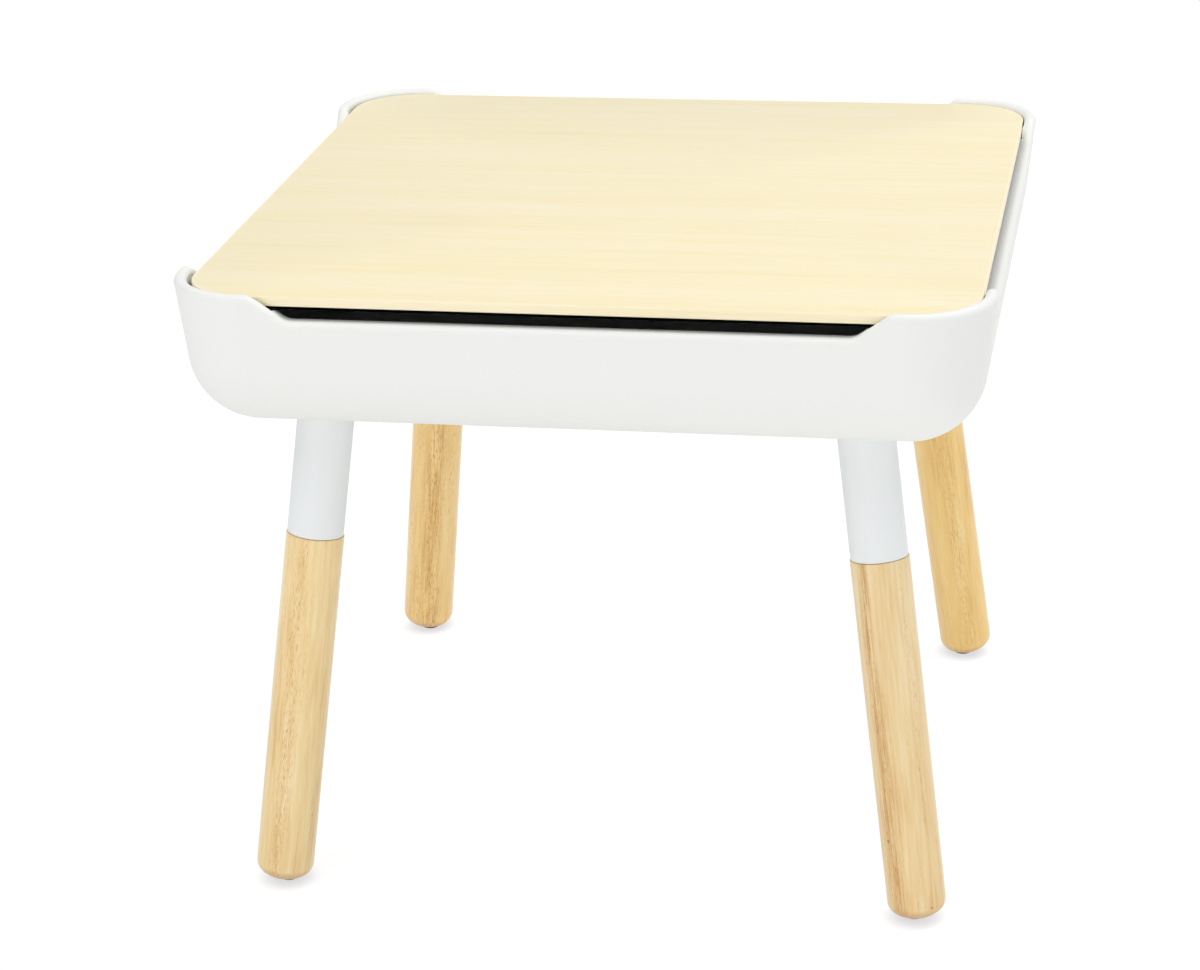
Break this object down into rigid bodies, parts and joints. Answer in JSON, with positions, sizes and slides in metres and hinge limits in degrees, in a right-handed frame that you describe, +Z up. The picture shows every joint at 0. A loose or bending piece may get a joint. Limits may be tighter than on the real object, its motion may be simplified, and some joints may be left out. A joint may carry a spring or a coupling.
{
  "type": "kids table with storage",
  "caption": "Low square children's table: a moulded storage tub on splayed round wooden legs, closed by a flat wooden lift-off lid that lies inside the rim as the table top.",
  "frame": {"origin": "on the floor, under the middle of the table", "axes": "+Z up, the front of the table faces -Y, +X to the right seen from the front"},
  "size_m": [0.6, 0.6, 0.495],
  "materials": {
    "tub_plastic": "satin white moulded plastic",
    "sleeve_plastic": "satin white moulded plastic",
    "lid_veneer": "pale maple veneer, satin lacquer",
    "lid_band": "pale maple edge band, satin lacquer",
    "lid_board": "raw fibreboard",
    "lid_backing": "matt black laminate",
    "leg_wood": "turned rubberwood, satin lacquer",
    "bumper_rubber": "matt grey rubber",
    "bolt_steel": "zinc plated",
    "insert_brass": "machined",
    "glide_plastic": "matt nylon"
  },
  "bodies": {
    "stand": {"storage_tub": "tub_plastic", "lid_bumper_front_left": "bumper_rubber", "lid_bumper_front_right": "bumper_rubber", "lid_bumper_back_right": "bumper_rubber", "lid_bumper_back_left": "bumper_rubber", "leg_sleeve_front_left": "sleeve_plastic", "leg_sleeve_front_right": "sleeve_plastic", "leg_sleeve_back_right": "sleeve_plastic", "leg_sleeve_back_left": "sleeve_plastic", "leg_front_left": "leg_wood", "leg_front_right": "leg_wood", "leg_back_right": "leg_wood", "leg_back_left": "leg_wood", "leg_bolts": "bolt_steel", "bolt_washers": "bolt_steel", "leg_inserts": "insert_brass", "foot_glide_front_left": "glide_plastic", "foot_glide_front_right": "glide_plastic", "foot_glide_back_right": "glide_plastic", "foot_glide_back_left": "glide_plastic"},
    "lid": {"lid_core": "lid_board", "lid_top_veneer": "lid_veneer", "lid_edge_band": "lid_band", "lid_backing": "lid_backing"}
  },
  "joints": [
    {"name": "lid_lift", "type": "slide", "parent": "stand", "child": "lid", "axis": [0, 0, 1], "range_m": [0, 0.2]}
  ]
}
